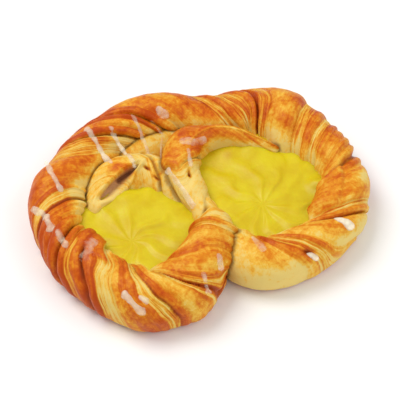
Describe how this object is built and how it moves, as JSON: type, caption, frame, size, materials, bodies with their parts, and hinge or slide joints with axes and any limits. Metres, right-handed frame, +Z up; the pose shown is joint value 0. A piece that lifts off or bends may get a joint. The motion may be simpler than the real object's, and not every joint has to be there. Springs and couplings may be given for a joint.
{
  "type": "pudding pretzel",
  "caption": "Baked sweet pretzel of twisted layered dough, with egg pudding in both loops and strokes of dried sugar icing.",
  "frame": {"origin": "under the middle of the bounding box, on the surface that the pretzel lies on", "axes": "+X from the left loop to the right loop, +Y from the notch between the loops to the back of the bow, +Z up"},
  "size_m": [0.1661, 0.1339, 0.0297],
  "materials": {
    "crust": "glossy golden-brown layered dough, paler between the folds",
    "pudding": "wet yellow baked pudding with soft swirled folds",
    "icing": "dried milky sugar icing, thin enough to let the crust show"
  },
  "bodies": {
    "root": {"dough_rope": "crust", "pudding_left": "pudding", "pudding_right": "pudding", "icing_back_left_long": "icing", "icing_back_left_short": "icing", "icing_back_left_string": "icing", "icing_back_dab": "icing", "icing_back_string": "icing", "icing_left_upper": "icing", "icing_left_drip": "icing", "icing_left_dab": "icing", "icing_left_patch": "icing", "icing_front_drip": "icing", "icing_front_drop": "icing", "icing_middle_drip": "icing", "icing_middle_dab": "icing", "icing_centre_long": "icing", "icing_centre_short": "icing", "icing_arch_dab": "icing", "icing_notch_dab": "icing", "icing_right_drip": "icing", "icing_right_dab": "icing"}
  },
  "joints": []
}
